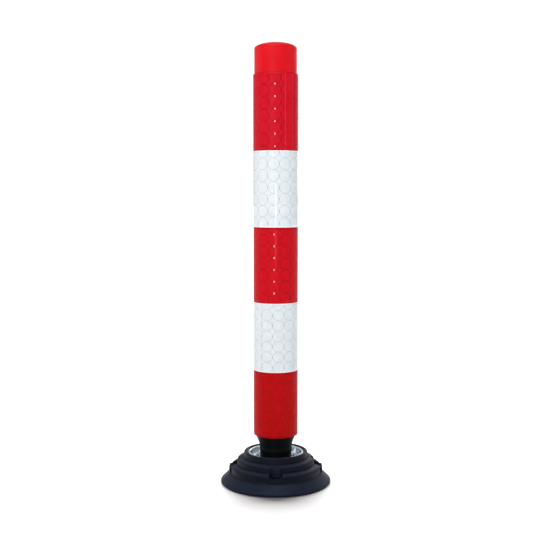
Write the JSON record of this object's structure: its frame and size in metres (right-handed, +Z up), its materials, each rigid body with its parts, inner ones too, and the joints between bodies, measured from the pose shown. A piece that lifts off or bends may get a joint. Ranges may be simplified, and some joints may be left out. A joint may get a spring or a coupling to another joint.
{
  "type": "spring-back delineator post",
  "caption": "Red and white reflective road delineator: a tube in a banded sleeve on a spring pivot in a stepped round rubber base.",
  "frame": {"origin": "centre of the underside of the base, on the ground", "axes": "+Z up along the post; X and Y through the four anchor holes"},
  "size_m": [0.2, 0.2, 0.79],
  "materials": {
    "base_rubber": "satin moulded rubber, dark charcoal with a faint blue cast",
    "boot_rubber": "slightly glossy black rubber",
    "plate_steel": "black painted steel",
    "zinc_plate": "bright zinc plate",
    "spring_steel": "oiled spring steel",
    "plug_iron": "turned steel, zinc plated",
    "ball_nylon": "natural nylon",
    "black_plastic": "moulded black plastic",
    "red_plastic": "satin orange-red polyethylene",
    "carrier_plastic": "red plastic sleeve",
    "red_film": "red prismatic reflective film",
    "white_film": "white prismatic reflective film"
  },
  "bodies": {
    "base": {"rubber_base": "base_rubber", "ground_plate": "plate_steel", "centre_bolt": "zinc_plate", "seat_cup": "zinc_plate", "cup_studs": "zinc_plate", "lower_spring_plug": "plug_iron", "neck_boot": "boot_rubber", "tension_spring": "spring_steel"},
    "pivot": {"pivot_ball": "ball_nylon"},
    "post": {"upper_spring_plug": "plug_iron", "tube_hub": "black_plastic", "hub_washer": "zinc_plate", "hub_bolt": "zinc_plate", "hub_screws": "zinc_plate", "post_tube": "red_plastic", "top_cap": "red_plastic", "cap_rivets": "zinc_plate", "sleeve_carrier": "carrier_plastic", "band_1_red": "red_film", "band_2_white": "white_film", "band_3_red": "red_film", "band_4_white": "white_film", "band_5_red": "red_film"}
  },
  "joints": [
    {"name": "lean_x", "type": "hinge", "parent": "base", "child": "pivot", "pos_m": [0, 0, 0.064], "axis": [1, 0, 0], "range_deg": [-22, 22], "stiffness_Nm_per_rad": 30, "deforming": ["tension_spring", "neck_boot"]},
    {"name": "lean_y", "type": "hinge", "parent": "pivot", "child": "post", "pos_m": [0, 0, 0.064], "axis": [0, 1, 0], "range_deg": [-22, 22], "stiffness_Nm_per_rad": 30, "deforming": ["tension_spring", "neck_boot"]}
  ]
}
